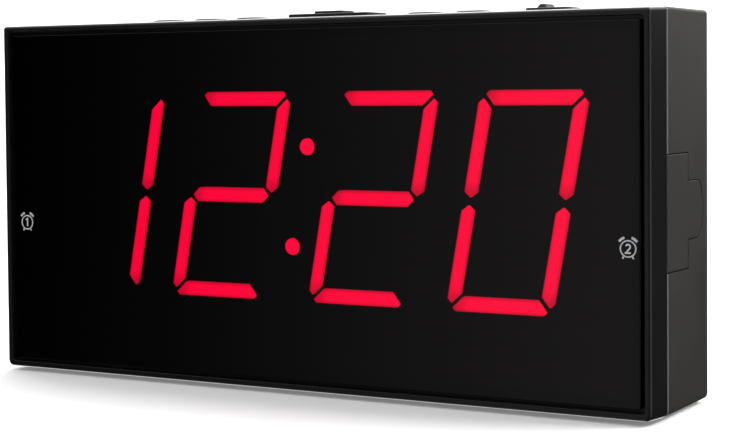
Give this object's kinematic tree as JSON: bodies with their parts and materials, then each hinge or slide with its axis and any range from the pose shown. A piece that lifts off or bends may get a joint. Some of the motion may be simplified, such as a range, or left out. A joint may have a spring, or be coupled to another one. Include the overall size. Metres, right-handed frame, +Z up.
{
  "type": "alarm clock radio",
  "caption": "Slim black desk alarm clock radio with a large red seven-segment LED display behind a smoked window, keys and a snooze bar on top and a sound grille behind.",
  "frame": {"origin": "on the table under the middle of the case, level with the undersides of the feet", "axes": "+X towards the right-hand end seen from the front, +Y from the display to the back, +Z up"},
  "size_m": [0.1624, 0.0324, 0.0835],
  "materials": {
    "bezel_plastic": "satin black moulding",
    "shell_plastic": "fine textured dark grey moulding",
    "window_acrylic": "smoked gloss",
    "foam": "black foam tape",
    "foot_rubber": "matte",
    "screw_steel": "zinc plated",
    "reflector_plastic": "matte black",
    "led_lens": "frosted red",
    "led_lit": "lit red segment",
    "circuit_board": "green solder mask",
    "chip_plastic": "matte black",
    "plunger_plastic": "plain moulded",
    "button_plastic": "satin black",
    "switch_steel": "plated",
    "speaker_steel": "pressed steel",
    "magnet_iron": "ferrite",
    "cone_paper": "coated paper",
    "capacitor_sleeve": "shrunk sleeve",
    "cable_grey": "grey insulation",
    "lead_red": "red insulation",
    "print_white": "screen print"
  },
  "bodies": {
    "case": {"rear_shell": "shell_plastic", "front_bezel": "bezel_plastic", "display_window": "window_acrylic", "window_gasket": "foam", "side_cover": "shell_plastic", "foot_front_left": "foot_rubber", "foot_rear_left": "foot_rubber", "foot_front_right": "foot_rubber", "foot_rear_right": "foot_rubber", "case_screw_1": "screw_steel", "case_screw_2": "screw_steel", "case_screw_3": "screw_steel", "case_screw_4": "screw_steel", "display_reflector": "reflector_plastic", "digit_lens_1": "led_lens", "digit_lens_2": "led_lens", "digit_lens_3": "led_lens", "digit_lens_4": "led_lens", "colon_lens": "led_lens", "display_board": "circuit_board", "key_board": "circuit_board", "clock_set_switch": "chip_plastic", "alarm_1_switch": "chip_plastic", "alarm_2_switch": "chip_plastic", "down_switch": "chip_plastic", "up_switch": "chip_plastic", "snooze_switch": "chip_plastic", "slide_switch_housing": "switch_steel", "speaker_frame": "speaker_steel", "speaker_magnet": "magnet_iron", "speaker_lead": "lead_red", "main_board": "circuit_board", "clock_chip": "chip_plastic", "tuner_chip": "chip_plastic", "filter_capacitor": "capacitor_sleeve", "dc_jack": "chip_plastic", "aerial_grommet": "foot_rubber", "cell_holder": "chip_plastic", "backup_cell": "switch_steel", "ribbon_cable": "cable_grey"},
    "clock_set_button": {"clock_set_button": "button_plastic", "clock_set_plunger": "plunger_plastic"},
    "alarm_1_button": {"alarm_1_button": "button_plastic", "alarm_1_plunger": "plunger_plastic"},
    "alarm_2_button": {"alarm_2_button": "button_plastic", "alarm_2_plunger": "plunger_plastic"},
    "down_button": {"down_button": "button_plastic", "down_plunger": "plunger_plastic"},
    "up_button": {"up_button": "button_plastic", "up_plunger": "plunger_plastic"},
    "snooze_bar": {"snooze_bar": "button_plastic", "snooze_plunger": "plunger_plastic"},
    "slide_switch_knob": {"slide_switch_knob": "button_plastic"},
    "battery_door": {"battery_door": "shell_plastic"},
    "speaker_cone": {"speaker_cone": "cone_paper"}
  },
  "joints": [
    {"name": "clock_set_press", "type": "slide", "parent": "case", "child": "clock_set_button", "axis": [0, 0, -1], "range_m": [0, 0.0005], "stiffness_N_per_m": 1500},
    {"name": "alarm_1_press", "type": "slide", "parent": "case", "child": "alarm_1_button", "axis": [0, 0, -1], "range_m": [0, 0.0005], "stiffness_N_per_m": 1500},
    {"name": "alarm_2_press", "type": "slide", "parent": "case", "child": "alarm_2_button", "axis": [0, 0, -1], "range_m": [0, 0.0005], "stiffness_N_per_m": 1500},
    {"name": "down_press", "type": "slide", "parent": "case", "child": "down_button", "axis": [0, 0, -1], "range_m": [0, 0.0005], "stiffness_N_per_m": 1500},
    {"name": "up_press", "type": "slide", "parent": "case", "child": "up_button", "axis": [0, 0, -1], "range_m": [0, 0.0005], "stiffness_N_per_m": 1500},
    {"name": "snooze_press", "type": "slide", "parent": "case", "child": "snooze_bar", "axis": [0, 0, -1], "range_m": [0, 0.0005], "stiffness_N_per_m": 2000},
    {"name": "slide_switch_travel", "type": "slide", "parent": "case", "child": "slide_switch_knob", "axis": [1, 0, 0], "range_m": [-0.002, 0.002]},
    {"name": "battery_door_removal", "type": "slide", "parent": "case", "child": "battery_door", "axis": [0, 1, 0], "range_m": [0, 0.02]},
    {"name": "cone_stroke", "type": "slide", "parent": "case", "child": "speaker_cone", "axis": [0, 1, 0], "range_m": [-0.0005, 0.0005], "stiffness_N_per_m": 1500}
  ]
}
